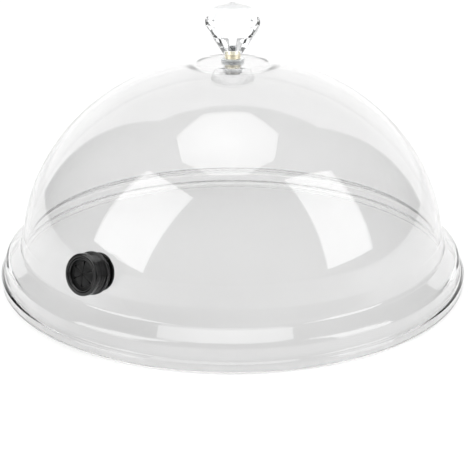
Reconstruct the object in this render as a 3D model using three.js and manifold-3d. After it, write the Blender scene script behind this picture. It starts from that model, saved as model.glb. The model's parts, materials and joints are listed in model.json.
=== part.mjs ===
// A clear cloche for smoking food: a moulded dome with a stepped, flared skirt, a faceted crystal knob
// screwed to the crown, and a black self-closing hose valve through the wall at the front left.
// Millimetres, +Z up, origin at the centre of the rim's foot, front towards -Y.
import * as THREE from "three";
import { mergeVertices } from "three/addons/utils/BufferGeometryUtils.js";
import Module from "manifold-3d";

const wasm = await Module();
wasm.setup();

// Dome
const rimRadius = 130;
const crownHeight = 116; // top of the flat crown above the rim's foot
const wall = 2.6;
const rimHeight = 4.3; // upright band at the foot
const flareHeight = 7.9; // from the rim's band up to the lower crease
const flareOut = 2.9;
const stepHeight = 5.5; // between the two creases
const stepOut = 7.9;
const shoulderHeight = 7.5; // from the upper crease up to the foot of the bowl
const shoulderOut = 2;
const bowlWaist = 12; // height where the bowl's ellipse would stand upright
const crownRadius = 22.5;
const crownStep = 0.6; // the crown's rise above the bowl at its edge
const crownEdge = 1; // width of that rise
const domeSides = 48;
const bowlSteps = 14;

// Clearances
const gap = 0.3; // between pieces that rest on each other, and round what passes through

// Knob and its fixing
const knobSides = 12;
const knobHeight = 27.8;
const knobRadius = 15.2; // at the girdle
const knobFootWall = 0.8; // width of the knob's flat foot round its socket
const knobPavilionRadius = 13.7;
const knobPavilionHeight = 12.5;
const girdleLow = 16; // heights of the girdle band above the knob's foot
const girdleHigh = 19;
const knobTableRadius = 9.6;
const knobTableDrop = 2.5; // below the knob's point
const screwRadius = 2; // M4
const screwLength = 16;
const headRadius = 4;
const headHeight = 2.4;
const recessWidth = 0.9; // cross recess in the screw's head
const recessLength = 4.4;
const recessDepth = 1.3;
const insertRadius = 4.3;
const insertHeight = 5;
const collarHeight = 2.7; // of the insert, bare between the seat washer and the knob
const seatWidth = 4; // radial widths of the washers round the screw
const seatThickness = 0.9;
const sealWidth = 3.3;
const sealThickness = 1;
const washerWidth = 2.7;
const washerThickness = 0.8;

// Valve, measured along its axis outwards from the dome's outer surface
const valveAzimuth = THREE.MathUtils.degToRad(34); // from the front towards the left
const valveRise = 8.8; // from the bowl's foot up to its axis, on the dome's outer surface
const stemRadius = 7;
const stemBore = 5.4;
const stemTail = 0.3; // how far the stem stands out of the nut
const gasketThickness = 0.9;
const gasketInset = 1; // the gasket's edge inside the flange's
const flangeEdge = 1; // how far the flange stands out of the barrel
const flangeThickness = 1.6;
const barrelWall = 1.15; // round the recess, at the bottom of the grip grooves
const ridgeHeight = 0.5;
const ridgeWidth = 1.2;
const ridgePitch = 1.9;
const ridgeCount = 2;
const lipEdge = 0.7; // how far the lip stands out of the barrel
const lipThickness = 2.4;
const lipRound = 0.6;
const hingeApothem = 5.7; // from the valve's axis to each petal's root line
const diaphragmThickness = 0.9;
const diaphragmEdge = 1; // narrowest width of the ring round the petals
const retainerThickness = 1;
const retainerWidth = 0.75;
const petalCount = 6;
const petalRise = 0.5; // how much thicker a petal is at its point
const reliefWidth = 0.5; // cut off each root corner, so that folded petals clear each other
const reliefLength = 2;
const nutThickness = 2;
const nutWall = 1.8;
const nutChamfer = 0.8;
const nutNotches = 4; // for a spanner, round the nut's back edge
const notchWidth = 2.4;
const notchDepth = 1;
const valveSides = 24;

const fineSides = 24;
const quarter = Math.PI / 2;

// Heights in the stack on the crown, from the knob down to the screw's head
const crownUnder = crownHeight - wall;
const seatBottom = crownHeight + gap;
const insertBottom = seatBottom + seatThickness + gap;
const insertTop = insertBottom + insertHeight;
const knobBottom = insertBottom + collarHeight;
const sealTop = crownUnder - gap;
const washerTop = sealTop - sealThickness - gap;
const headTop = washerTop - washerThickness - gap;
const screwTop = headTop + screwLength;
const screwHole = screwRadius + gap;
const socketRadius = insertRadius + gap;
const knobFoot = socketRadius + knobFootWall;

// Places in the stack along the valve's axis
const gasketTop = gap + gasketThickness;
const flangeBack = gasketTop + gap;
const flangeFront = flangeBack + flangeThickness;
const ridgesEnd = flangeFront + ridgePitch * ridgeCount;
const lipBack = ridgesEnd + ridgePitch - ridgeWidth;
const lipFront = lipBack + lipThickness;
const retainerFront = lipFront - gap;
const retainerBack = retainerFront - retainerThickness;
const diaphragmFront = retainerBack - gap;
const diaphragmBack = diaphragmFront - diaphragmThickness;
const seatLevel = diaphragmBack - gap;
const stemHole = stemRadius + gap;
const openingCorner = (hingeApothem + gap / 2) / Math.cos(Math.PI / petalCount);
const chamberRadius = openingCorner + gap / 2;
const diaphragmRadius = openingCorner + diaphragmEdge;
const recessRadius = diaphragmRadius + gap;
const barrelRadius = recessRadius + barrelWall;
const flangeRadius = barrelRadius + flangeEdge;
const gasketRadius = flangeRadius - gasketInset;
const nutRadius = stemHole + nutWall;
const nutBack = -wall - gap - nutThickness;
const stemEnd = nutBack - stemTail;

const clearPlastic = new THREE.MeshStandardMaterial({
  color: 0xf2f5f6, roughness: 0.05, metalness: 0, transparent: true, opacity: 0.25,
});
const crystal = new THREE.MeshStandardMaterial({
  color: 0xf8fbfc, roughness: 0.02, metalness: 0, transparent: true, opacity: 0.4, flatShading: true,
});
const clearSilicone = new THREE.MeshStandardMaterial({
  color: 0xe6eaec, roughness: 0.4, metalness: 0, transparent: true, opacity: 0.55,
});
const brass = new THREE.MeshStandardMaterial({ color: 0xe0b860, roughness: 0.25, metalness: 1 });
const steel = new THREE.MeshStandardMaterial({ color: 0xb9bcc0, roughness: 0.3, metalness: 1 });
const blackPlastic = new THREE.MeshStandardMaterial({ color: 0x0e0e10, roughness: 0.3, metalness: 0 });
const blackRubber = new THREE.MeshStandardMaterial({ color: 0x161617, roughness: 0.55, metalness: 0 });

// Turns [radius, height] points about +Z. The outline runs up its outer side and down its inner one.
function turned(points, sides) {
  const outline = points.map(([r, z]) => new THREE.Vector2(r, z));
  return new THREE.LatheGeometry(outline, sides).rotateX(quarter);
}

// A tube between two radii and two heights.
function ring(outer, inner, low, high, sides) {
  return turned([[outer, low], [outer, high], [inner, high], [inner, low], [outer, low]], sides);
}

// A full disc or rod between two heights.
function disc(radius, low, high, sides) {
  return turned([[0, low], [radius, low], [radius, high], [0, high]], sides);
}

function solidOf(geometry) {
  const bare = geometry.clone();
  bare.deleteAttribute("normal");
  bare.deleteAttribute("uv");
  const merged = mergeVertices(bare, 1e-4);
  const triVerts = new Uint32Array(merged.index.array);
  return new wasm.Manifold(
    new wasm.Mesh({ numProp: 3, vertProperties: merged.attributes.position.array, triVerts }),
  );
}

function geometryOf(made) {
  const { vertProperties, triVerts } = made.getMesh();
  return new THREE.BufferGeometry()
    .setAttribute("position", new THREE.BufferAttribute(vertProperties, 3))
    .setIndex(new THREE.BufferAttribute(triVerts, 1));
}

// The first geometry with the others cut away.
function cut(geometry, ...tools) {
  return geometryOf(tools.reduce((left, tool) => left.subtract(solidOf(tool)), solidOf(geometry)));
}

function common(geometry, other) {
  return geometryOf(solidOf(geometry).intersect(solidOf(other)));
}

function piece(name, geometry, material) {
  const mesh = new THREE.Mesh(geometry, material);
  mesh.name = name;
  return mesh;
}

// The bowl is an ellipse through the top of the skirt and the edge of the crown.
const bowlFootRadius = rimRadius - flareOut - stepOut - shoulderOut;
const bowlFootHeight = rimHeight + flareHeight + stepHeight + shoulderHeight;
const bowlTopHeight = crownHeight - crownStep;
const valveHeight = bowlFootHeight + valveRise;
const bowl = ellipseThrough(
  [bowlFootRadius, bowlFootHeight - bowlWaist],
  [crownRadius, bowlTopHeight - bowlWaist],
);

// Semi-axes of the upright ellipse about the origin through two points.
function ellipseThrough([r1, z1], [r2, z2]) {
  const scale = (r1 * z2) ** 2 - (r2 * z1) ** 2;
  return {
    across: Math.sqrt(scale / (z2 ** 2 - z1 ** 2)),
    up: Math.sqrt(scale / (r1 ** 2 - r2 ** 2)),
  };
}

// The dome's outer surface from the rim's foot up to the axis, as [radius, height] points.
function domeOutline() {
  const creaseRadius = rimRadius - flareOut;
  const creaseHeight = rimHeight + flareHeight;
  const points = [
    [rimRadius, 0],
    [rimRadius, rimHeight],
    [creaseRadius, creaseHeight],
    [creaseRadius - stepOut, creaseHeight + stepHeight],
  ];
  const from = Math.asin((bowlFootHeight - bowlWaist) / bowl.up);
  const to = Math.asin((bowlTopHeight - bowlWaist) / bowl.up);
  for (let i = 0; i <= bowlSteps; i++) {
    const angle = from + ((to - from) * i) / bowlSteps;
    points.push([bowl.across * Math.cos(angle), bowlWaist + bowl.up * Math.sin(angle)]);
  }
  points.push([crownRadius - crownEdge, crownHeight], [0, crownHeight]);
  return points;
}

// An outline moved inwards by a distance, with mitred corners. Its ends stay on the foot and the axis.
function inset(points, distance) {
  const direction = (a, b) => new THREE.Vector2(b[0] - a[0], b[1] - a[1]).normalize();
  return points.map((point, i) => {
    const before = direction(points[Math.max(i - 1, 0)], points[Math.max(i, 1)]);
    const last = points.length - 1;
    const after = direction(points[Math.min(i, last - 1)], points[Math.min(i + 1, last)]);
    const reach = distance / (1 + before.dot(after));
    return [point[0] - (before.y + after.y) * reach, point[1] + (before.x + after.x) * reach];
  });
}

// All that lies under the dome's outer surface moved inwards by a distance, down to a floor.
function domeBody(distance, floor = 0) {
  const outline = inset(domeOutline(), distance);
  return turned([[0, floor], [outline[0][0], floor], ...outline.slice(floor ? 0 : 1)], domeSides);
}

// The frame of the valve: +Z along its axis, out of the dome at right angles to the wall.
function valveFrame() {
  const up = (valveHeight - bowlWaist) / bowl.up;
  const radius = bowl.across * Math.sqrt(1 - up * up);
  const lean = Math.atan2(up / bowl.up, radius / bowl.across ** 2);
  const frame = new THREE.Group();
  frame.position.set(-radius * Math.sin(valveAzimuth), -radius * Math.cos(valveAzimuth), valveHeight);
  frame.rotation.set(quarter - lean, 0, -valveAzimuth, "ZXY");
  frame.updateMatrix();
  return frame;
}

const valve = valveFrame();

function toDome(geometry) {
  return geometry.applyMatrix4(valve.matrix);
}

function toValve(geometry) {
  return geometry.applyMatrix4(valve.matrix.clone().invert());
}

function domeCover() {
  const hollow = domeBody(wall, -wall);
  const stemPort = toDome(disc(stemHole, -3 * wall, 2 * wall, valveSides));
  const screwPort = disc(screwHole, crownUnder - wall, crownHeight + wall, fineSides);
  return piece("dome_cover", cut(domeBody(0), hollow, stemPort, screwPort), clearPlastic);
}

function crystalKnob() {
  const outline = [
    [0, 0],
    [knobFoot, 0],
    [knobPavilionRadius, knobPavilionHeight],
    [knobRadius, girdleLow],
    [knobRadius, girdleHigh],
    [knobTableRadius, knobHeight - knobTableDrop],
    [0, knobHeight],
  ];
  const gem = turned(outline, knobSides).translate(0, 0, knobBottom);
  const socket = disc(socketRadius, knobBottom - wall, insertTop + gap, fineSides);
  const screwRoom = disc(screwHole, insertTop, screwTop + gap, fineSides);
  return piece("crystal_knob", cut(gem, socket, screwRoom), crystal);
}

function knobScrew() {
  const headBottom = headTop - headHeight;
  const round = headHeight / 3;
  const outline = [
    [0, headBottom],
    [headRadius - round, headBottom],
    [headRadius, headBottom + round],
    [headRadius, headTop],
    [screwRadius, headTop],
    [screwRadius, screwTop - screwRadius / 3],
    [screwRadius * 0.7, screwTop],
    [0, screwTop],
  ];
  const slot = new THREE.BoxGeometry(recessLength, recessWidth, 2 * recessDepth).translate(0, 0, headBottom);
  const crossSlot = slot.clone().rotateZ(quarter);
  return piece("knob_screw", cut(turned(outline, fineSides), slot, crossSlot), steel);
}

function knobFixing() {
  const insert = ring(insertRadius, screwHole, insertBottom, insertTop, fineSides);
  const seat = ring(screwHole + seatWidth, screwHole, seatBottom, seatBottom + seatThickness, fineSides);
  const seal = ring(screwHole + sealWidth, screwHole, sealTop - sealThickness, sealTop, fineSides);
  const washer = ring(screwHole + washerWidth, screwHole, washerTop - washerThickness, washerTop, fineSides);
  return [
    piece("knob_insert", insert, brass),
    piece("knob_seat_washer", seat, clearSilicone),
    piece("knob_seal_washer", seal, clearSilicone),
    piece("knob_steel_washer", washer, steel),
    knobScrew(),
  ];
}

// The valve's housing: a threaded stem through the wall, a flange, a grooved barrel and a rounded lip.
function valveHousing() {
  const ridges = [];
  const side = (ridgePitch - ridgeWidth) / 2;
  for (let i = 0; i < ridgeCount; i++) {
    const low = flangeFront + side + ridgePitch * i;
    ridges.push(
      [barrelRadius, low],
      [barrelRadius + ridgeHeight, low + side / 2],
      [barrelRadius + ridgeHeight, low + ridgeWidth - side / 2],
      [barrelRadius, low + ridgeWidth],
    );
  }
  const outline = [
    [stemRadius, stemEnd],
    [stemRadius, flangeBack],
    [flangeRadius, flangeBack],
    [flangeRadius, flangeFront],
    [barrelRadius, flangeFront],
    ...ridges,
    [barrelRadius, lipBack],
    [barrelRadius + lipEdge, lipBack + side],
    [barrelRadius + lipEdge, lipFront - lipRound],
    [barrelRadius + lipEdge - lipRound, lipFront],
    [recessRadius, lipFront],
    [recessRadius, seatLevel],
    [chamberRadius, seatLevel],
    [chamberRadius, flangeBack + chamberRadius - stemBore],
    [stemBore, flangeBack],
    [stemBore, stemEnd],
    [stemRadius, stemEnd],
  ];
  return piece("valve_housing", turned(outline, valveSides), blackPlastic);
}

// A low round nut whose front follows the inside of the dome's wall.
function lockNut() {
  const outline = [
    [0, nutBack],
    [nutRadius - nutChamfer, nutBack],
    [nutRadius, nutBack + nutChamfer],
    [nutRadius, wall],
    [0, wall],
  ];
  const blank = common(turned(outline, valveSides), toValve(domeBody(wall + gap)));
  const bore = disc(stemHole, nutBack - gap, wall + gap, valveSides);
  const notches = Array.from({ length: nutNotches }, (_, i) =>
    new THREE.BoxGeometry(2 * notchDepth + 2 * nutChamfer, notchWidth, 2 * notchDepth)
      .translate(nutRadius, 0, nutBack)
      .rotateZ(((i + 0.5) * 2 * Math.PI) / nutNotches),
  );
  return piece("valve_lock_nut", cut(blank, bore, ...notches), blackPlastic);
}

// The gasket is flat on the valve's side and follows the dome's wall on the other.
function gasket() {
  const flat = ring(gasketRadius, stemHole, -wall, gasketTop, valveSides);
  return piece("valve_gasket", cut(flat, toValve(domeBody(-gap))), blackRubber);
}

// The silicone diaphragm: a ring with a six-sided opening, and one petal hinged at each side of it.
function diaphragmRing() {
  const outline = new THREE.Shape().absarc(0, 0, diaphragmRadius, 0, 2 * Math.PI);
  const opening = new THREE.Path();
  for (let i = 0; i < petalCount; i++) {
    const angle = (2 * Math.PI * (i + 0.5)) / petalCount;
    const corner = [openingCorner * Math.cos(angle), openingCorner * Math.sin(angle)];
    if (i) opening.lineTo(...corner);
    else opening.moveTo(...corner);
  }
  opening.closePath();
  outline.holes.push(opening);
  const settings = { depth: diaphragmThickness, bevelEnabled: false, curveSegments: valveSides };
  const flat = new THREE.ExtrudeGeometry(outline, settings).translate(0, 0, diaphragmBack);
  return piece("valve_diaphragm_ring", flat, blackRubber);
}

function petal(index) {
  const halfAngle = Math.PI / petalCount;
  const root = hingeApothem - gap / 2;
  const point = gap / 2 / Math.sin(halfAngle);
  const halfRoot = (root - point) * Math.tan(halfAngle);
  const shoulder = root - reliefLength;
  const halfShoulder = (shoulder - point) * Math.tan(halfAngle);
  const outline = new THREE.Shape();
  outline.moveTo(point, 0).lineTo(shoulder, -halfShoulder).lineTo(root, reliefWidth - halfRoot);
  outline.lineTo(root, halfRoot - reliefWidth).lineTo(shoulder, halfShoulder).closePath();
  const flat = new THREE.ExtrudeGeometry(outline, { depth: diaphragmThickness, bevelEnabled: false });
  const corners = flat.attributes.position;
  for (let i = 0; i < corners.count; i++) {
    const rise = (petalRise * (root - corners.getX(i))) / (root - point);
    if (corners.getZ(i) > 0) corners.setZ(i, diaphragmThickness + rise);
  }
  flat.rotateZ((2 * Math.PI * index) / petalCount).translate(0, 0, diaphragmBack);
  return piece(`valve_petal_${index + 1}`, flat, blackRubber);
}

function valvePieces() {
  const opening = diaphragmRadius - retainerWidth;
  const retainer = ring(diaphragmRadius, opening, retainerBack, retainerFront, valveSides);
  const petals = Array.from({ length: petalCount }, (_, i) => petal(i));
  valve.add(
    valveHousing(),
    lockNut(),
    gasket(),
    diaphragmRing(),
    piece("valve_retainer", retainer, blackPlastic),
    ...petals,
  );
  return valve;
}

const cloche = new THREE.Group();
cloche.add(domeCover(), crystalKnob(), ...knobFixing(), valvePieces());

export default cloche;
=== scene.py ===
import json
import math

import bmesh
import bpy
from mathutils import Matrix, Vector


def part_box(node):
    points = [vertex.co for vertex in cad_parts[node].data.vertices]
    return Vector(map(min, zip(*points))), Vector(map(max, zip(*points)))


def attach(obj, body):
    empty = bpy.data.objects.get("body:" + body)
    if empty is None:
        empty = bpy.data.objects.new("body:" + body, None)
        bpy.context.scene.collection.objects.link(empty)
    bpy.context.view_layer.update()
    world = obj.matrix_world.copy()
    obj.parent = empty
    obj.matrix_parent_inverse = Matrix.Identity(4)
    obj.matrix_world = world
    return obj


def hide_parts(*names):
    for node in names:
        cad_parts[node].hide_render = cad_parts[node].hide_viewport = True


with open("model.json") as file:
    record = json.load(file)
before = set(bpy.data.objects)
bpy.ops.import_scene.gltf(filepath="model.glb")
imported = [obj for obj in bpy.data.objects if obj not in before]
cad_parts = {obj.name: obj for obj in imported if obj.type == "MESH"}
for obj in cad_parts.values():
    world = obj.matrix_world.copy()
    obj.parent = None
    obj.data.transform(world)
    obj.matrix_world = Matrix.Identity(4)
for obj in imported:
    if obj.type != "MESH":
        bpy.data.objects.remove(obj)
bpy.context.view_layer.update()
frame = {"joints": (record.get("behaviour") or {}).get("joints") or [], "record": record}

mm = 0.001
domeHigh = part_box("dome_cover")[1]
rimRadius = domeHigh.x / mm
crownHeight = domeHigh.z / mm
scene = bpy.context.scene


# Camera

cameraView = {
    "place": (0, -0.4951, 0.2138),
    "pitchDown": 16.83,
    "lens": 71.07,
    "shift": (0.0028, -0.1556),
}


def makeCamera():
    data = bpy.data.cameras.new("camera")
    data.sensor_width = 36
    data.lens = cameraView["lens"]
    data.shift_x, data.shift_y = cameraView["shift"]
    camera = bpy.data.objects.new("camera", data)
    camera.location = cameraView["place"]
    camera.rotation_euler = (math.radians(90 - cameraView["pitchDown"]), 0, 0)
    scene.collection.objects.link(camera)
    scene.camera = camera
    print("camera placed")


# Mesh helpers. Outlines are lists of (radius, height, fillet) in millimetres.

def roundedOutline(corners, closed=True, fillSteps=4):
    points = []
    last = len(corners) - 1
    for i, (radius, height, fillet) in enumerate(corners):
        here = Vector((radius, height))
        if fillet == 0 or (not closed and i in (0, last)):
            points.append(here)
            continue
        before = Vector(corners[i - 1][:2]) - here
        after = Vector(corners[0 if i == last else i + 1][:2]) - here
        half = before.angle(after) / 2
        reach = min(fillet / math.tan(half), 0.48 * before.length, 0.48 * after.length)
        towards = (before.normalized() + after.normalized()).normalized()
        middle = here + towards * (reach / math.cos(half))
        start = here + before.normalized() * reach - middle
        end = here + after.normalized() * reach - middle
        turn = start.angle(end)
        for step in range(fillSteps + 1):
            share = step / fillSteps
            along = start * math.sin((1 - share) * turn) + end * math.sin(share * turn)
            points.append(middle + along / math.sin(turn))
    return points


# Extra points near the ends of long straight runs keep their shading flat.
def steadied(points, reach, closed=True):
    result = []
    for i, here in enumerate(points):
        result.append(here)
        if i == len(points) - 1 and not closed:
            break
        run = points[(i + 1) % len(points)] - here
        if run.length > 4 * reach:
            result.append(here + run.normalized() * reach)
            result.append(here + run - run.normalized() * reach)
    return result


def turnedMesh(corners, steps, closed=True, reach=0.15, fillSteps=4):
    points = steadied(roundedOutline(corners, closed, fillSteps), reach, closed)
    bm = bmesh.new()
    verts = [bm.verts.new((point.x * mm, 0, point.y * mm)) for point in points]
    edges = [bm.edges.new(pair) for pair in zip(verts, verts[1:])]
    if closed:
        edges.append(bm.edges.new((verts[-1], verts[0])))
    bmesh.ops.spin(
        bm, geom=verts + edges, cent=(0, 0, 0), axis=(0, 0, 1), dvec=(0, 0, 0),
        angle=2 * math.pi, steps=steps, use_merge=True,
    )
    bmesh.ops.remove_doubles(bm, verts=bm.verts, dist=1e-7)
    bmesh.ops.recalc_face_normals(bm, faces=bm.faces)
    return bm


def meshObject(name, bm, place=None):
    if place is not None:
        bmesh.ops.transform(bm, matrix=place, verts=bm.verts)
    mesh = bpy.data.meshes.new(name)
    bm.to_mesh(mesh)
    bm.free()
    made = bpy.data.objects.new(name, mesh)
    scene.collection.objects.link(made)
    return made


# Cuts a piece with another one and removes the cutter.
def cutAway(made, cutter):
    modifier = made.modifiers.new("cut", "BOOLEAN")
    modifier.operation = "DIFFERENCE"
    modifier.object = cutter
    modifier.solver = "EXACT"
    depsgraph = bpy.context.evaluated_depsgraph_get()
    result = bpy.data.meshes.new_from_object(made.evaluated_get(depsgraph))
    made.modifiers.clear()
    old = made.data
    made.data = result
    result.name = made.name
    bpy.data.meshes.remove(old)
    bpy.data.objects.remove(cutter)


def finishPiece(made, material, body="cloche", stands=None, sharpAngle=35):
    bm = bmesh.new()
    bm.from_mesh(made.data)
    bmesh.ops.remove_doubles(bm, verts=bm.verts, dist=1e-7)
    bmesh.ops.dissolve_degenerate(bm, edges=bm.edges, dist=1e-7)
    limit = math.radians(sharpAngle)
    for face in bm.faces:
        face.smooth = sharpAngle > 0
    for edge in bm.edges:
        edge.smooth = edge.calc_face_angle(0) < limit
    bm.to_mesh(made.data)
    bm.free()
    made.data.materials.clear()
    made.data.materials.append(material)
    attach(made, body)
    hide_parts(stands or made.name.replace("_look", ""))
    print("made", made.name, len(made.data.polygons), "faces")


# Shader node groups that several materials share

def newGroup(name, inputs, outputs):
    group = bpy.data.node_groups.new(name, "ShaderNodeTree")
    for label, kind, value in inputs:
        socket = group.interface.new_socket(name=label, in_out="INPUT", socket_type=kind)
        if value is not None:
            socket.default_value = value
    for label, kind in outputs:
        group.interface.new_socket(name=label, in_out="OUTPUT", socket_type=kind)
    start = group.nodes.new("NodeGroupInput")
    end = group.nodes.new("NodeGroupOutput")
    return group, start, end


# Soft smudges from handling, as a value between Low and High.
def makeSmudges():
    group, start, end = newGroup(
        "smudges",
        [("Vector", "NodeSocketVector", None), ("Scale", "NodeSocketFloat", 60.0),
         ("Low", "NodeSocketFloat", 0.0), ("High", "NodeSocketFloat", 1.0)],
        [("Value", "NodeSocketFloat"), ("Mask", "NodeSocketFloat")],
    )
    noise = group.nodes.new("ShaderNodeTexNoise")
    noise.inputs["Detail"].default_value = 4
    noise.inputs["Roughness"].default_value = 0.6
    ramp = group.nodes.new("ShaderNodeMapRange")
    ramp.interpolation_type = "SMOOTHSTEP"
    ramp.inputs["From Min"].default_value = 0.42
    ramp.inputs["From Max"].default_value = 0.7
    spread = group.nodes.new("ShaderNodeMapRange")
    link = group.links.new
    link(start.outputs["Vector"], noise.inputs["Vector"])
    link(start.outputs["Scale"], noise.inputs["Scale"])
    link(noise.outputs["Fac"], ramp.inputs["Value"])
    link(ramp.outputs["Result"], spread.inputs["Value"])
    link(start.outputs["Low"], spread.inputs["To Min"])
    link(start.outputs["High"], spread.inputs["To Max"])
    link(spread.outputs["Result"], end.inputs["Value"])
    link(ramp.outputs["Result"], end.inputs["Mask"])
    return group


# The fine even grain of moulded plastic and rubber, as a height.
def makeGrain():
    group, start, end = newGroup(
        "mouldedGrain",
        [("Vector", "NodeSocketVector", None), ("Scale", "NodeSocketFloat", 2500.0)],
        [("Height", "NodeSocketFloat")],
    )
    noise = group.nodes.new("ShaderNodeTexNoise")
    noise.inputs["Detail"].default_value = 2
    link = group.links.new
    link(start.outputs["Vector"], noise.inputs["Vector"])
    link(start.outputs["Scale"], noise.inputs["Scale"])
    link(noise.outputs["Fac"], end.inputs["Height"])
    return group


# The rings that a lathe tool leaves round the upright axis, as a height.
def makeTurning():
    group, start, end = newGroup(
        "turningMarks",
        [("Vector", "NodeSocketVector", None), ("Scale", "NodeSocketFloat", 4000.0)],
        [("Height", "NodeSocketFloat")],
    )
    split = group.nodes.new("ShaderNodeSeparateXYZ")
    flat = group.nodes.new("ShaderNodeCombineXYZ")
    length = group.nodes.new("ShaderNodeVectorMath")
    length.operation = "LENGTH"
    total = group.nodes.new("ShaderNodeMath")
    total.operation = "ADD"
    noise = group.nodes.new("ShaderNodeTexNoise")
    noise.noise_dimensions = "1D"
    noise.inputs["Detail"].default_value = 2
    link = group.links.new
    link(start.outputs["Vector"], split.inputs["Vector"])
    link(split.outputs["X"], flat.inputs["X"])
    link(split.outputs["Y"], flat.inputs["Y"])
    link(flat.outputs["Vector"], length.inputs[0])
    link(length.outputs["Value"], total.inputs[0])
    link(split.outputs["Z"], total.inputs[1])
    link(total.outputs["Value"], noise.inputs["W"])
    link(start.outputs["Scale"], noise.inputs["Scale"])
    link(noise.outputs["Fac"], end.inputs["Height"])
    return group


# Materials

def newMaterial(name, settings):
    material = bpy.data.materials.new(name)
    material.use_nodes = True
    nodes = material.node_tree.nodes
    shader = next(node for node in nodes if node.type == "BSDF_PRINCIPLED")
    for label, value in settings.items():
        shader.inputs[label].default_value = value
    coordinates = nodes.new("ShaderNodeTexCoord")
    return material, shader, coordinates.outputs["Object"]


def addGroup(material, group, place, **values):
    node = material.node_tree.nodes.new("ShaderNodeGroup")
    node.node_tree = group
    material.node_tree.links.new(place, node.inputs["Vector"])
    for label, value in values.items():
        node.inputs[label].default_value = value
    return node


def addBump(material, shader, height, distance):
    bump = material.node_tree.nodes.new("ShaderNodeBump")
    bump.inputs["Distance"].default_value = distance
    material.node_tree.links.new(height, bump.inputs["Height"])
    material.node_tree.links.new(bump.outputs["Normal"], shader.inputs["Normal"])


# Base colour that drifts between two near shades.
def addShades(material, shader, mask, first, second):
    mix = material.node_tree.nodes.new("ShaderNodeMix")
    mix.data_type = "RGBA"
    mix.inputs["A"].default_value = (*first, 1)
    mix.inputs["B"].default_value = (*second, 1)
    material.node_tree.links.new(mask, mix.inputs["Factor"])
    material.node_tree.links.new(mix.outputs["Result"], shader.inputs["Base Color"])


# Light passes a clear piece on its way to what stands behind it.
def letLightThrough(material, shader, tint):
    nodes = material.node_tree.nodes
    link = material.node_tree.links.new
    output = next(node for node in nodes if node.type == "OUTPUT_MATERIAL")
    path = nodes.new("ShaderNodeLightPath")
    clear = nodes.new("ShaderNodeBsdfTransparent")
    clear.inputs["Color"].default_value = (*tint, 1)
    mix = nodes.new("ShaderNodeMixShader")
    link(path.outputs["Is Shadow Ray"], mix.inputs["Fac"])
    link(shader.outputs["BSDF"], mix.inputs[1])
    link(clear.outputs["BSDF"], mix.inputs[2])
    link(mix.outputs["Shader"], output.inputs["Surface"])


# Smudges drive the roughness and the drift between the two shades.
def addFinish(material, shader, groups, place, finish):
    low, high = finish["roughness"]
    smudges = addGroup(
        material, groups["smudges"], place, Scale=finish["smudgeScale"], Low=low, High=high,
    )
    material.node_tree.links.new(smudges.outputs["Value"], shader.inputs["Roughness"])
    addShades(material, shader, smudges.outputs["Mask"], *finish["shades"])


clearPlastic = {
    "ior": 1.49,
    "shades": ((0.85, 0.85, 0.85), (0.864, 0.864, 0.864)),
    "roughness": (0.0, 0.014),
    "smudgeScale": 22.0,
    "rippleScale": 14.0,
    "rippleDepth": 0.00005,
    "passes": (0.905, 0.905, 0.905),  # light that gets through each surface to what lies behind
}


def clearPlasticMaterial(groups):
    settings = {"IOR": clearPlastic["ior"], "Transmission Weight": 1.0, "Metallic": 0.0}
    material, shader, place = newMaterial("clear_plastic", settings)
    addFinish(material, shader, groups, place, clearPlastic)
    ripple = addGroup(material, groups["grain"], place, Scale=clearPlastic["rippleScale"])
    addBump(material, shader, ripple.outputs["Height"], clearPlastic["rippleDepth"])
    letLightThrough(material, shader, clearPlastic["passes"])
    return material


crystal = {
    "ior": 1.47,
    "shades": ((0.97, 0.98, 0.985), (0.985, 0.99, 0.995)),
    "roughness": (0.0, 0.02),
    "smudgeScale": 160.0,
    "passes": (0.96, 0.97, 0.98),
}


def crystalMaterial(groups):
    settings = {"IOR": crystal["ior"], "Transmission Weight": 1.0, "Metallic": 0.0}
    material, shader, place = newMaterial("crystal", settings)
    addFinish(material, shader, groups, place, crystal)
    letLightThrough(material, shader, crystal["passes"])
    return material


silicone = {
    "ior": 1.41,
    "clear": 0.75,
    "shades": ((0.86, 0.88, 0.89), (0.92, 0.935, 0.94)),
    "roughness": (0.3, 0.42),
    "smudgeScale": 300.0,
    "grainScale": 1800.0,
    "grainDepth": 0.00004,
    "passes": (0.7, 0.7, 0.7),
}


def siliconeMaterial(groups):
    settings = {"IOR": silicone["ior"], "Transmission Weight": silicone["clear"], "Metallic": 0.0}
    material, shader, place = newMaterial("clear_silicone", settings)
    addFinish(material, shader, groups, place, silicone)
    grain = addGroup(material, groups["grain"], place, Scale=silicone["grainScale"])
    addBump(material, shader, grain.outputs["Height"], silicone["grainDepth"])
    letLightThrough(material, shader, silicone["passes"])
    return material


brass = {
    "shades": ((1.0, 0.94, 0.76), (0.97, 0.89, 0.68)),
    "roughness": (0.38, 0.52),
    "smudgeScale": 350.0,
    "turningScale": 5200.0,
    "turningDepth": 0.00003,
}
steel = {
    "shades": ((0.36, 0.365, 0.37), (0.27, 0.275, 0.28)),
    "roughness": (0.2, 0.34),
    "smudgeScale": 350.0,
    "turningScale": 5200.0,
    "turningDepth": 0.00003,
}


def metalMaterial(groups, name, finish):
    material, shader, place = newMaterial(name, {"Metallic": 1.0})
    addFinish(material, shader, groups, place, finish)
    turning = addGroup(material, groups["turning"], place, Scale=finish["turningScale"])
    addBump(material, shader, turning.outputs["Height"], finish["turningDepth"])
    return material


blackPlastic = {
    "ior": 1.5,
    "shades": ((0.004, 0.004, 0.004), (0.008, 0.008, 0.008)),
    "roughness": (0.07, 0.13),
    "smudgeScale": 260.0,
    "grainScale": 2600.0,
    "grainDepth": 0.000004,
}
blackRubber = {
    "ior": 1.33,
    "shades": ((0.004, 0.004, 0.004), (0.008, 0.008, 0.008)),
    "roughness": (0.3, 0.42),
    "smudgeScale": 260.0,
    "grainScale": 3200.0,
    "grainDepth": 0.00002,
}


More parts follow.
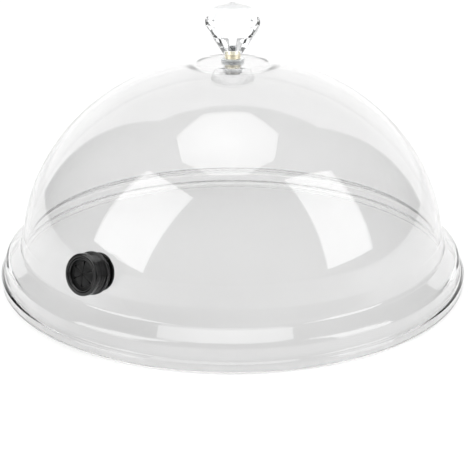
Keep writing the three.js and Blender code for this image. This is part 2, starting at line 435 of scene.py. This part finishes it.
def blackMaterial(groups, name, finish):
    material, shader, place = newMaterial(name, {"IOR": finish["ior"]})
    addFinish(material, shader, groups, place, finish)
    grain = addGroup(material, groups["grain"], place, Scale=finish["grainScale"])
    addBump(material, shader, grain.outputs["Height"], finish["grainDepth"])
    return material


def makeMaterials():
    groups = {"smudges": makeSmudges(), "grain": makeGrain(), "turning": makeTurning()}
    finishes = {
        "clearPlastic": clearPlasticMaterial(groups),
        "crystal": crystalMaterial(groups),
        "silicone": siliconeMaterial(groups),
        "brass": metalMaterial(groups, "brass", brass),
        "steel": metalMaterial(groups, "steel", steel),
        "blackPlastic": blackMaterial(groups, "black_plastic", blackPlastic),
        "blackRubber": blackMaterial(groups, "black_rubber", blackRubber),
    }
    print("materials made:", len(finishes))
    return finishes


# Dome

dome = {
    "wall": 2.6,
    "footEdge": 0.25,  # rounding
    "rim": (4.3, 0.9),  # height of the upright band, rounding at its top
    "flareFoot": (128.1, 5.4, 1.4),
    "lowerCrease": (127.1, 12.2, 3.2),
    "upperCrease": (119.2, 17.7, 2.4),
    "bowlFoot": (117.2, 25.2, 14),
    "waist": 12,  # height where the bowl's ellipse would stand upright
    "bowlTop": (22.5, 115.4),
    "crown": (20.5, 16),  # radius of the flat crown, rounding at its edge
    "crownBlend": 26.5,  # radius where the bowl starts to rise to the crown
    "innerRounding": 2.5,  # least rounding of the corners on the inside
    "crownShift": 2.2,  # how much further in the crown's edge lies on the inside
    "screwHole": (2.3, 0.2),  # radius, rounding
    "portReach": (-8, 5),  # the hole for the stem, cut from inside the wall to outside it
    "bowlSteps": 70,
    "portTurns": 64,
    "skippedSteps": 6,  # leave room for the rounding at the bowl's foot
    "turns": 176,
}


# Semi-axes of the bowl's ellipse, across and up, through its foot and its top.
def bowlAxes():
    footRadius, footHeight = dome["bowlFoot"][:2]
    topRadius, topHeight = dome["bowlTop"]
    footUp = footHeight - dome["waist"]
    topUp = topHeight - dome["waist"]
    scale = (footRadius * topUp) ** 2 - (topRadius * footUp) ** 2
    across = math.sqrt(scale / (topUp ** 2 - footUp ** 2))
    up = math.sqrt(scale / (footRadius ** 2 - topRadius ** 2))
    return across, up


def domeCorners():
    across, up = bowlAxes()
    rimTop, rimRound = dome["rim"]
    corners = [
        (rimRadius, 0, dome["footEdge"]),
        (rimRadius, rimTop, rimRound),
        dome["flareFoot"],
        dome["lowerCrease"],
        dome["upperCrease"],
        dome["bowlFoot"],
    ]
    start = math.asin((dome["bowlFoot"][1] - dome["waist"]) / up)
    end = math.asin((dome["bowlTop"][1] - dome["waist"]) / up)
    steps = dome["bowlSteps"]
    for step in range(dome["skippedSteps"], steps):
        angle = start + (end - start) * step / steps
        radius = across * math.cos(angle)
        if radius > dome["crownBlend"]:
            corners.append((radius, dome["waist"] + up * math.sin(angle), 0))
    crownRadius, crownRound = dome["crown"]
    corners.append((crownRadius, crownHeight, crownRound))
    holeRadius, holeRound = dome["screwHole"]
    corners.append((holeRadius, crownHeight, holeRound))
    return corners


# The corners moved in by the wall, from the screw hole down to the foot.
def innerCorners(corners):
    wall = dome["wall"]
    inner = []
    last = len(corners) - 1
    for i, (radius, height, fillet) in enumerate(corners):
        here = Vector((radius, height))
        before = here - Vector(corners[i - 1][:2]) if i else Vector((0, 1))
        after = Vector(corners[i + 1][:2]) - here if i < last else Vector((-1, 0))
        before.normalize()
        after.normalize()
        reach = wall / (1 + before.dot(after))
        moved = here + Vector((-before.y - after.y, before.x + after.x)) * reach
        inner.append((moved.x, moved.y, max(fillet, dome["innerRounding"]) if fillet else 0))
    inner[0] = (rimRadius - wall, 0, dome["footEdge"])
    crownRadius, crownRound = dome["crown"]
    inner[-2] = (crownRadius - dome["crownShift"], crownHeight - wall, crownRound)
    holeRadius, holeRound = dome["screwHole"]
    inner[-1] = (holeRadius, crownHeight - wall, holeRound)
    return inner[::-1]


def makeDome(finishes):
    corners = domeCorners()
    bm = turnedMesh(corners + innerCorners(corners), dome["turns"], reach=0.8, fillSteps=6)
    made = meshObject("dome_cover_look", bm)
    low, high = dome["portReach"]
    radius = valve["stem"] + valve["stemRoom"]
    port = turnedMesh(
        [(0, low, 0), (radius, low, 0), (radius, high, 0), (0, high, 0)],
        dome["portTurns"], closed=False, reach=high - low,
    )
    cutAway(made, meshObject("stem_port", port, valvePlace))
    finishPiece(made, finishes["clearPlastic"], stands="dome_cover")


# Valve. Heights are along its axis, outwards from the dome's outer surface.

valve = {
    "hinge": 7.5,  # height of the petals' root lines
    "stem": 7.0,
    "stemRoom": 0.3,
    "bore": 5.4,
    "stemEnd": -5.2,
    "threadPitch": 1.0,
    "threadDepth": 0.3,
    "flange": (10.205, 1.5, 3.1),  # radius, back, front
    "barrel": 9.205,
    "ridges": (0.5, 1.9, 2),  # how far they stand out, pitch, number
    "ridgeStart": 0.3,  # from the flange's front
    "ridgeFoot": (0.05, 1.25),  # where a ridge starts and ends, from its own start
    "ridgeTop": (0.35, 0.95),
    "lip": (9.905, 7.6, 10.0),  # radius, back, front
    "lipRound": 0.75,
    "recess": (8.055, 7.2),  # radius, bottom
    "chamber": (6.905, 3.0),  # radius, bottom
    "turns": 96,
}


# The valve's frame: X towards the first petal's hinge, Z out of the dome along the valve's axis.
def findValvePlace():
    hinges = [Vector(joint["pos_m"]) for joint in frame["joints"]]
    middle = sum(hinges, Vector()) / len(hinges)
    face = next(m for m in frame["record"]["mounts"] if m["name"] == "hose_port_face")
    outwards = Vector(face["axis"]).normalized()
    across = (hinges[0] - middle).normalized()
    rise = outwards.cross(across)
    turn = Matrix((across, rise, outwards)).transposed().to_4x4()
    return Matrix.Translation(middle - outwards * valve["hinge"] * mm) @ turn


# Thread crests and roots between two heights, from the lower one up.
def threadCorners(radius, depth, pitch, low, high):
    corners = []
    count = int((high - low) / pitch)
    for i in range(count):
        base = low + i * pitch
        corners.append((radius - depth, base + 0.1 * pitch, 0))
        corners.append((radius, base + 0.45 * pitch, 0))
        corners.append((radius, base + 0.6 * pitch, 0))
        corners.append((radius - depth, base + 0.95 * pitch, 0))
    return corners


def makeHousing(finishes):
    flangeRadius, flangeBack, flangeFront = valve["flange"]
    lipRadius, lipBack, lipFront = valve["lip"]
    recessRadius, seat = valve["recess"]
    chamberRadius, chamberEnd = valve["chamber"]
    barrel = valve["barrel"]
    stand, pitch, count = valve["ridges"]
    foot, top = valve["ridgeFoot"], valve["ridgeTop"]
    corners = [(valve["stem"] - 0.5, valve["stemEnd"], 0.1)]
    corners += threadCorners(
        valve["stem"], valve["threadDepth"], valve["threadPitch"], valve["stemEnd"] + 0.5, -2.6)
    corners += [
        (valve["stem"], -2.2, 0.1),
        (valve["stem"], flangeBack, 0.15),
        (flangeRadius, flangeBack, 0.3),
        (flangeRadius, flangeFront, 0.45),
        (barrel, flangeFront, 0.25),
    ]
    for i in range(count):
        low = flangeFront + valve["ridgeStart"] + i * pitch
        corners += [
            (barrel, low + foot[0], 0.15),
            (barrel + stand, low + top[0], 0.25),
            (barrel + stand, low + top[1], 0.25),
            (barrel, low + foot[1], 0.15),
        ]
    corners += [
        (barrel, lipBack - 0.25, 0.15),
        (lipRadius, lipBack + 0.1, 0.3),
        (lipRadius, lipFront, valve["lipRound"]),
        (recessRadius, lipFront, 0.35),
        (recessRadius, seat, 0.1),
        (chamberRadius, seat, 0.15),
        (chamberRadius, chamberEnd, 0.3),
        (valve["bore"], flangeBack, 0.3),
        (valve["bore"], valve["stemEnd"], 0.25),
    ]
    bm = turnedMesh(corners, valve["turns"], reach=0.12)
    made = meshObject("valve_housing_look", bm, valvePlace)
    finishPiece(made, finishes["blackPlastic"], stands="valve_housing")


nut = {
    "radius": 9.1,
    "back": -4.9,
    "room": 0.1,  # between its front and the wall
    "chamfer": 0.8,
    "bore": 7.05,  # at the thread's crests
    "threadDepth": 0.3,
    "notch": (2.4, 1.0),  # width and depth
    "notches": 4,
}


# How far the dome's wall falls away from the valve's axis at a distance.
def wallFall(radius):
    bowlRadius = (rimRadius + crownHeight) / 2 - dome["waist"]
    return radius ** 2 / (2 * bowlRadius)


def makeLockNut(finishes):
    radius, back, chamfer, bore = nut["radius"], nut["back"], nut["chamfer"], nut["bore"]
    front = -dome["wall"] - nut["room"]
    root = bore + nut["threadDepth"]
    corners = [
        (root, back, 0.05),
        (radius - chamfer, back, 0.2),
        (radius, back + chamfer, 0.2),
        (radius, front - wallFall(radius), 0.15),
        (root, front - wallFall(bore), 0.05),
    ]
    thread = threadCorners(
        root, nut["threadDepth"], valve["threadPitch"], back + 0.1, front - wallFall(bore))
    bm = turnedMesh(corners + thread[::-1], valve["turns"], reach=0.2)
    made = meshObject("valve_lock_nut_look", bm, valvePlace)
    width, depth = nut["notch"]
    for index in range(nut["notches"]):
        bm = bmesh.new()
        bmesh.ops.create_cube(bm, size=1)
        size = Matrix.Diagonal((2 * (depth + chamfer) * mm, width * mm, 2 * depth * mm, 1))
        turn = Matrix.Rotation((index + 0.5) * 2 * math.pi / nut["notches"], 4, "Z")
        place = turn @ Matrix.Translation((radius * mm, 0, back * mm)) @ size
        cutAway(made, meshObject("notch", bm, valvePlace @ place))
    finishPiece(made, finishes["blackPlastic"], stands="valve_lock_nut")


gasket = {
    "radius": 9.205,
    "hole": 7.1,
    "foot": 0.04,  # above the dome's wall, at the axis
    "top": 1.45,
    "bulge": 0.3,  # rounding of its outer edges
    "holeEdge": 0.1,
}


def makeGasket(finishes):
    hole, radius, foot, top = gasket["hole"], gasket["radius"], gasket["foot"], gasket["top"]
    corners = [
        (hole, foot - wallFall(hole), gasket["holeEdge"]),
        (radius, foot - wallFall(radius), gasket["bulge"]),
        (radius, top, gasket["bulge"]),
        (hole, top, gasket["holeEdge"]),
    ]
    bm = turnedMesh(corners, valve["turns"], reach=0.15)
    made = meshObject("valve_gasket_look", bm, valvePlace)
    finishPiece(made, finishes["blackRubber"], stands="valve_gasket")


diaphragm = {
    "radius": 7.755,
    "opening": 5.62,  # from the axis to each side of the six-sided opening
    "back": 7.5,
    "front": 8.4,
    "root": 5.55,  # from the axis to each petal's root
    "point": 0.2,
    "rise": 0.5,  # how much thicker a petal is at its point
    "reliefWidth": 0.5,  # cut off each corner of the root
    "reliefLength": 2.0,
    "edge": 0.09,
    "petals": 6,
    "ringWidth": 1.0,  # inside the opening's sides, before the opening is cut
    "cutterDepth": 4,
    "sharpAngle": 50,
}


def makeDiaphragmRing(finishes):
    back, front = diaphragm["back"], diaphragm["front"]
    radius = diaphragm["radius"]
    inside = diaphragm["opening"] - diaphragm["ringWidth"]
    ring = [(inside, back, 0), (radius, back, 0.15), (radius, front, 0.25), (inside, front, 0)]
    bm = turnedMesh(ring, valve["turns"], reach=0.15)
    made = meshObject("valve_diaphragm_ring_look", bm, valvePlace)
    bm = bmesh.new()
    corner = diaphragm["opening"] / math.cos(math.pi / diaphragm["petals"])
    bmesh.ops.create_cone(
        bm, cap_ends=True, segments=diaphragm["petals"], radius1=corner * mm, radius2=corner * mm,
        depth=diaphragm["cutterDepth"] * mm,
    )
    bm.verts.ensure_lookup_table()
    firstAngle = math.atan2(bm.verts[0].co.y, bm.verts[0].co.x)
    turn = Matrix.Rotation(math.pi / diaphragm["petals"] - firstAngle, 4, "Z")
    bmesh.ops.transform(bm, matrix=Matrix.Translation((0, 0, back * mm)) @ turn, verts=bm.verts)
    cutAway(made, meshObject("opening", bm, valvePlace))
    finishPiece(
        made, finishes["blackRubber"], stands="valve_diaphragm_ring",
        sharpAngle=diaphragm["sharpAngle"],
    )


def makePetal(finishes, index):
    half = math.tan(math.pi / diaphragm["petals"])
    root, point = diaphragm["root"], diaphragm["point"]
    shoulder = root - diaphragm["reliefLength"]
    halfRoot = (root - point) * half - diaphragm["reliefWidth"]
    halfShoulder = (shoulder - point) * half
    thickness = diaphragm["front"] - diaphragm["back"]
    outline = [
        (point, 0), (shoulder, -halfShoulder), (root, -halfRoot),
        (root, halfRoot), (shoulder, halfShoulder),
    ]
    bm = bmesh.new()
    face = bm.faces.new([bm.verts.new((x * mm, y * mm, 0)) for x, y in outline])
    raised = bmesh.ops.extrude_face_region(bm, geom=[face])
    for vert in [item for item in raised["geom"] if isinstance(item, bmesh.types.BMVert)]:
        inwards = (root - vert.co.x / mm) / (root - point)
        vert.co.z += (thickness + diaphragm["rise"] * inwards) * mm
    bmesh.ops.recalc_face_normals(bm, faces=bm.faces)
    bmesh.ops.bevel(
        bm, geom=bm.edges[:], offset=diaphragm["edge"] * mm, segments=3, profile=0.5,
        affect="EDGES", material=-1,
    )
    turn = Matrix.Rotation(2 * math.pi * index / diaphragm["petals"], 4, "Z")
    place = valvePlace @ Matrix.Translation((0, 0, diaphragm["back"] * mm)) @ turn
    name = f"valve_petal_{index + 1}"
    made = meshObject(name + "_look", bm, place)
    finishPiece(
        made, finishes["blackRubber"], body=f"petal_{index + 1}", stands=name,
        sharpAngle=diaphragm["sharpAngle"],
    )


retainer = {
    "outer": 7.95,
    "inner": 7.0,
    "low": 8.5,
    "high": 9.7,
    "bevel": (0.25, 0.5),  # inwards and down, at the inner top edge
    "undercut": 0.2,
}


def makeRetainer(finishes):
    inner, outer, low, high = (retainer[key] for key in ("inner", "outer", "low", "high"))
    inwards, down = retainer["bevel"]
    corners = [
        (inner + retainer["undercut"], low, 0.1),
        (outer, low, 0.1),
        (outer, high, 0.2),
        (inner + inwards, high, 0.3),
        (inner, high - down, 0.25),
    ]
    bm = turnedMesh(corners, valve["turns"], reach=0.12)
    made = meshObject("valve_retainer_look", bm, valvePlace)
    finishPiece(made, finishes["blackPlastic"], stands="valve_retainer")


# Knob and what holds it, on the crown

knob = {
    "sides": 12,
    "rings": [  # radius, height, and whether the ring is turned by half a side
        (5.4, 120.2, False), (13.7, 132.7, False), (15.2, 136.2, True), (15.2, 139.2, True),
        (9.6, 145.5, False),
    ],
    "point": 148.0,
    "edge": 0.12,
    "flatAngle": 0.5,  # faces closer to level with each other than this are one facet
    "socket": (4.45, 122.7),  # radius, top
    "screwRoom": (2.15, 127.0),
    "roomTurns": 48,
    "roomDrop": 2,  # how far below the knob's foot the cut starts
}


def makeKnob(finishes):
    sides = knob["sides"]
    bm = bmesh.new()
    bm.verts.new((0, 0, knob["point"] * mm))
    for radius, height, turned in knob["rings"]:
        for side in range(sides):
            angle = 2 * math.pi * (side + 0.5 * turned) / sides
            bm.verts.new((radius * mm * math.cos(angle), radius * mm * math.sin(angle), height * mm))
    hull = bmesh.ops.convex_hull(bm, input=bm.verts[:])
    spare = [item for item in hull["geom_interior"] if isinstance(item, bmesh.types.BMVert)]
    bmesh.ops.delete(bm, geom=spare, context="VERTS")
    limit = math.radians(knob["flatAngle"])
    bmesh.ops.dissolve_limit(bm, angle_limit=limit, verts=bm.verts, edges=bm.edges)
    bmesh.ops.recalc_face_normals(bm, faces=bm.faces)
    bmesh.ops.bevel(
        bm, geom=bm.edges[:], offset=knob["edge"] * mm, segments=1, profile=0.5,
        affect="EDGES", material=-1,
    )
    made = meshObject("crystal_knob_look", bm)
    socketRadius, socketTop = knob["socket"]
    roomRadius, roomTop = knob["screwRoom"]
    low = knob["rings"][0][1] - knob["roomDrop"]
    room = turnedMesh(
        [(0, low, 0), (socketRadius, low, 0), (socketRadius, socketTop, 0.2),
         (roomRadius, socketTop, 0.1), (roomRadius, roomTop, 0.5), (0, roomTop, 0)],
        knob["roomTurns"], closed=False, reach=roomTop - low,
    )
    cutAway(made, meshObject("screw_room", room))
    finishPiece(made, finishes["crystal"], stands="crystal_knob", sharpAngle=0)


insert = {
    "radius": 4.3,
    "hole": 2.05,
    "low": 117.35,
    "collar": 120.1,  # top of the part that shows under the knob
    "high": 122.5,
    "groove": (0.35, (0.5, 0.75, 1.0, 1.2)),  # depth, and its corners' heights above the foot
    "neck": 0.25,  # how much thinner it is inside the knob
    "neckRise": 0.2,
    "flutes": 40,
    "fluteDepth": 0.035,  # as a share of the radius
    "fluteEnds": (1.3, 0.25),  # above the foot, and below the collar's top
    "fluteRoom": 0.2,
}


def makeInsert(finishes):
    radius, hole, neck = insert["radius"], insert["hole"], insert["radius"] - insert["neck"]
    low, collar, high = insert["low"], insert["collar"], insert["high"]
    depth, (start, rootStart, rootEnd, end) = insert["groove"]
    corners = [
        (hole, low, 0.1),
        (radius, low, 0.2),
        (radius, low + start, 0.1),
        (radius - depth, low + rootStart, 0.1),
        (radius - depth, low + rootEnd, 0.1),
        (radius, low + end, 0.1),
        (radius, collar, 0.2),
        (neck, collar + insert["neckRise"], 0.1),
        (neck, high, 0.2),
        (hole, high, 0.1),
    ]
    flutes = insert["flutes"]
    bm = turnedMesh(corners, 4 * flutes, reach=0.15)
    fluteLow, fluteHigh = low + insert["fluteEnds"][0], collar - insert["fluteEnds"][1]
    for vert in bm.verts:
        outside = math.hypot(vert.co.x, vert.co.y) > (radius - insert["fluteRoom"]) * mm
        if outside and fluteLow * mm < vert.co.z < fluteHigh * mm:
            turn = math.atan2(vert.co.y, vert.co.x) * flutes
            shrink = 1 - insert["fluteDepth"] * (0.5 - 0.5 * math.cos(turn))
            vert.co.x *= shrink
            vert.co.y *= shrink
    made = meshObject("knob_insert_look", bm)
    finishPiece(made, finishes["brass"], stands="knob_insert")


# Flat washers on the screw: radius, hole, low, high, rounding, finish, and its slot.
washers = {
    "knob_seat_washer": (6.3, 2.2, 116.05, 117.3, 0.35, "silicone", "clear_silicone"),
    "knob_seal_washer": (5.6, 2.2, 111.95, 113.35, 0.35, "silicone", "clear_silicone"),
    "knob_steel_washer": (5.0, 2.15, 110.85, 111.9, 0.2, "steel", "steel"),
}


def makeWashers(finishes):
    turns, holeEdge = 72, 0.1
    for node, (radius, hole, low, high, fillet, finish, slotName) in washers.items():
        corners = [
            (hole, low, holeEdge), (radius, low, fillet), (radius, high, fillet), (hole, high, holeEdge),
        ]
        made = meshObject(node + "_look", turnedMesh(corners, turns, reach=0.2))
        finishPiece(made, finishes[finish], stands=node)


screw = {
    "radius": 1.98,
    "tip": 126.7,
    "pitch": 0.7,
    "threadDepth": 0.3,
    "headRadius": 4.0,
    "headLow": 108.3,
    "headHigh": 110.75,
    "headRound": (1.4, 1.1),  # inwards and up, at the head's lower edge
    "tipRound": 0.2,
    "turns": 56,
    "recess": (0.9, 4.4, 1.3),  # width, length and depth of the cross
}


def makeScrew(finishes):
    radius, depth = screw["radius"], screw["threadDepth"]
    low, high = screw["headLow"], screw["headHigh"]
    inwards, up = screw["headRound"]
    corners = [
        (0, low, 0),
        (screw["headRadius"] - inwards, low, 1.2),
        (screw["headRadius"], low + up, 0.8),
        (screw["headRadius"], high, 0.15),
        (radius, high, 0.1),
        (radius, high + 0.3, 0.05),
    ]
    corners += threadCorners(radius, depth, screw["pitch"], high + 0.4, screw["tip"] - 0.7)
    corners += [(radius - depth - screw["tipRound"], screw["tip"], 0.1), (0, screw["tip"], 0)]
    made = meshObject("knob_screw_look", turnedMesh(corners, screw["turns"], closed=False, reach=0.2))
    width, length, deep = screw["recess"]
    for turn in (0, math.pi / 2):
        bm = bmesh.new()
        bmesh.ops.create_cube(bm, size=1)
        size = Matrix.Diagonal((length * mm, width * mm, 2 * deep * mm, 1))
        place = Matrix.Translation((0, 0, low * mm)) @ Matrix.Rotation(turn, 4, "Z") @ size
        cutAway(made, meshObject("recess", bm, place))
    finishPiece(made, finishes["steel"], stands="knob_screw")


# Stage

stage = {
    "floorSize": 9.0,
    "floorDrop": 0.00005,
    "floorShades": [(-0.8, 0.2), (-0.34, 0.4), (-0.2, 0.74), (1.0, 0.945)],  # from front to back; painted shade and light: the floor's colour darkens towards the front and lightens towards the back in place of uneven light
    "sky": (2.5, 120),  # strength, and width of the cone of soft light in degrees
    "skyHeight": 2,
    "floorRoughness": 0.7,
    "wall": {"x": (-1.65, 2.05), "y": 1.38, "height": 3.15, "glow": 1.25},
    "overhead": {
        "middle": (-0.049, -0.082, 1.2), "radius": 0.466, "sides": 8, "glow": 3.1, "falloff": 0.35,
    },
    "left": {
        "middle": (-0.628, -0.412, 0.499), "across": (0.671, -0.714, -0.198),
        "rise": (0.397, 0.12, 0.91), "size": (0.526, 0.746), "glow": 3.6,
    },
    "right": {
        "middle": (0.673, -0.331, 0.497), "across": (0.837, 0.541, 0.079),
        "rise": (-0.243, 0.239, 0.94), "size": (0.486, 0.772), "glow": 3.6,
    },
    "room": (0.09, 0.2),  # brightness in reflections, and through clear pieces
}


# A lamp's face, brighter in its middle by the falloff.
def glowMaterial(name, strength, size, falloff, middle):
    material = bpy.data.materials.new(name)
    material.use_nodes = True
    nodes = material.node_tree.nodes
    link = material.node_tree.links.new
    nodes.clear()
    output = nodes.new("ShaderNodeOutputMaterial")
    glow = nodes.new("ShaderNodeEmission")
    coordinates = nodes.new("ShaderNodeTexCoord")
    mapping = nodes.new("ShaderNodeMapping")
    mapping.inputs["Location"].default_value = [-value / size for value in middle]
    mapping.inputs["Scale"].default_value = (1 / size, 1 / size, 1 / size)
    distance = nodes.new("ShaderNodeVectorMath")
    distance.operation = "LENGTH"
    fade = nodes.new("ShaderNodeMapRange")
    fade.inputs["To Min"].default_value = strength
    fade.inputs["To Max"].default_value = strength * (1 - falloff)
    link(coordinates.outputs["Object"], mapping.inputs["Vector"])
    link(mapping.outputs["Vector"], distance.inputs[0])
    link(distance.outputs["Value"], fade.inputs["Value"])
    link(fade.outputs["Result"], glow.inputs["Strength"])
    link(glow.outputs["Emission"], output.inputs["Surface"])
    return material


# A flat lamp, or the bright wall behind the cloche.
def makePanel(name, middle, across, rise, size, glow, falloff=0.12):
    bm = bmesh.new()
    bmesh.ops.create_grid(bm, x_segments=1, y_segments=1, size=0.5)
    x = Vector(across).normalized()
    z = x.cross(Vector(rise)).normalized()
    y = z.cross(x)
    turn = Matrix((x * size[0], y * size[1], z)).transposed().to_4x4()
    made = meshObject(name, bm, Matrix.Translation(middle) @ turn)
    made.data.materials.append(glowMaterial(name, glow, max(size) / 2, falloff, middle))


def makeStage():
    drop = stage["floorDrop"]
    bm = bmesh.new()
    bmesh.ops.create_grid(bm, x_segments=1, y_segments=1, size=stage["floorSize"] / 2)
    floor = meshObject("floor", bm, Matrix.Translation((0, 0, -drop)))
    material, shader, place = newMaterial(
        "floor", {"Roughness": stage["floorRoughness"], "Specular IOR Level": 0.0},
    )
    nodes = material.node_tree.nodes
    link = material.node_tree.links.new
    split = nodes.new("ShaderNodeSeparateXYZ")
    # Painted shade and light: the floor's colour fades from dark at the front to pale at the back,
    # standing in for uneven light.
    shades = stage["floorShades"]
    front, back = shades[0][0], shades[-1][0]
    depth = nodes.new("ShaderNodeMapRange")
    depth.inputs["From Min"].default_value = front
    depth.inputs["From Max"].default_value = back
    fade = nodes.new("ShaderNodeValToRGB")
    ramp = fade.color_ramp.elements
    for y, _ in shades[1:-1]:
        ramp.new((y - front) / (back - front))
    for element, (_, shade) in zip(ramp, shades):
        element.color = (shade, shade, shade, 1)
    link(place, split.inputs["Vector"])
    link(split.outputs["Y"], depth.inputs["Value"])
    link(depth.outputs["Result"], fade.inputs["Fac"])
    link(fade.outputs["Color"], shader.inputs["Base Color"])
    floor.data.materials.append(material)

    sky = bpy.data.lights.new("sky", "SUN")
    sky.energy, spread = stage["sky"]
    sky.angle = math.radians(spread)
    ceiling = bpy.data.objects.new("sky", sky)
    ceiling.location = (0, 0, stage["skyHeight"])
    ceiling.visible_glossy = False
    ceiling.visible_transmission = False
    scene.collection.objects.link(ceiling)

    wall = stage["wall"]
    left, right = wall["x"]
    middle = ((left + right) / 2, wall["y"], wall["height"] / 2)
    makePanel(
        "backdrop", middle, (1, 0, 0), (0, 0, 1), (right - left, wall["height"]), wall["glow"], 0.0)

    overhead = stage["overhead"]
    bm = bmesh.new()
    sides, radius, top = overhead["sides"], overhead["radius"], overhead["middle"]
    bmesh.ops.create_circle(bm, cap_ends=True, segments=sides, radius=radius)
    turn = Matrix.Rotation(math.pi / sides, 4, "Z")
    lamp = meshObject("overhead_lamp", bm, Matrix.Translation(top) @ turn)
    lamp.data.materials.append(
        glowMaterial("overhead_lamp", overhead["glow"], radius, overhead["falloff"], top))
    for side in ("left", "right"):
        panel = stage[side]
        makePanel(
            side + "_lamp", panel["middle"], panel["across"], panel["rise"], panel["size"],
            panel["glow"])

    world = bpy.data.worlds.new("studio")
    scene.world = world
    world.use_nodes = True
    nodes = world.node_tree.nodes
    link = world.node_tree.links.new
    path = nodes.new("ShaderNodeLightPath")
    room = nodes.new("ShaderNodeMapRange")
    room.inputs["To Min"].default_value, room.inputs["To Max"].default_value = stage["room"]
    nodes["Background"].inputs["Color"].default_value = (1, 1, 1, 1)
    link(path.outputs["Is Transmission Ray"], room.inputs["Value"])
    link(room.outputs["Result"], nodes["Background"].inputs["Strength"])
    scene.view_settings.view_transform = "Standard"
    print("stage set")


valvePlace = findValvePlace()
makeCamera()
finishes = makeMaterials()
makeDome(finishes)
makeKnob(finishes)
makeInsert(finishes)
makeWashers(finishes)
makeScrew(finishes)
makeHousing(finishes)
makeLockNut(finishes)
makeGasket(finishes)
makeDiaphragmRing(finishes)
for petal in range(diaphragm["petals"]):
    makePetal(finishes, petal)
makeRetainer(finishes)
makeStage()
